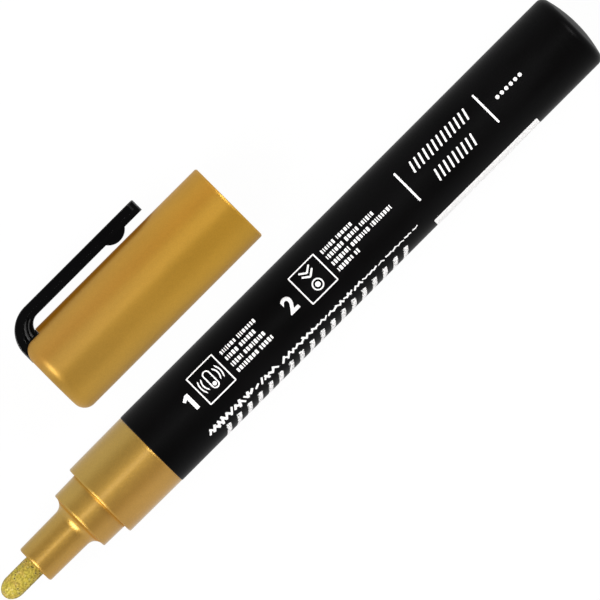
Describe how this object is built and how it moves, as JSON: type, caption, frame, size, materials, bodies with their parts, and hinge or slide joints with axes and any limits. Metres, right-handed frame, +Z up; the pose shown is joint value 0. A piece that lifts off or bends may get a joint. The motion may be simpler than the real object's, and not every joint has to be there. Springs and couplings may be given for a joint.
{
  "type": "liquid chalk marker",
  "caption": "Round black marker with a stepped gold front, a fibre nib that opens a spring valve when pressed, and a gold push-on cap with a black clip lying beside it.",
  "frame": {"origin": "on the barrel's axis, at the barrel's front rim, where the cap's mouth stops", "axes": "+X along the marker's axis towards its tail, +Y towards the cap beside it, +Z up from the table"},
  "size_m": [0.1471, 0.0425, 0.0172],
  "materials": {
    "barrel_black": "satin moulded plastic",
    "gold_plastic": "satin plastic with metallic pigment",
    "nib_fibre": "bonded fibre soaked with paint",
    "sponge": "open-cell foam soaked with paint",
    "soft_white": "soft moulded plastic",
    "hard_white": "hard moulded plastic",
    "spring_steel": "drawn wire",
    "ball_steel": "polished ball",
    "clip_black": "semi-gloss moulded plastic"
  },
  "bodies": {
    "marker": {"barrel": "barrel_black", "front_section": "gold_plastic", "feed_sponge": "sponge", "valve_seat": "soft_white", "valve_cage": "hard_white", "valve_spring": "spring_steel"},
    "nib": {"nib": "nib_fibre", "valve_stem": "hard_white"},
    "ball": {"mixing_ball": "ball_steel"},
    "cap": {"cap_shell": "gold_plastic", "inner_cap": "soft_white"},
    "clip": {"clip": "clip_black"}
  },
  "joints": [
    {"name": "nib_press", "type": "slide", "parent": "marker", "child": "nib", "axis": [1, 0, 0], "range_m": [0, 0.003], "stiffness_N_per_m": 600, "springref_m": -0.003, "deforming": ["valve_spring"]},
    {"name": "ball_roll", "type": "slide", "parent": "marker", "child": "ball", "axis": [1, 0, 0], "range_m": [-0.0498, 0.042]},
    {"name": "cap_slide", "type": "slide", "parent": "marker", "child": "cap", "axis": [-1, 0, 0], "range_m": [0, 0.08]},
    {"name": "clip_flex", "type": "hinge", "parent": "cap", "child": "clip", "pos_m": [-0.0019, 0.03, 0.0006], "axis": [0, 0, 1], "range_deg": [0, 3], "stiffness_Nm_per_rad": 1}
  ]
}
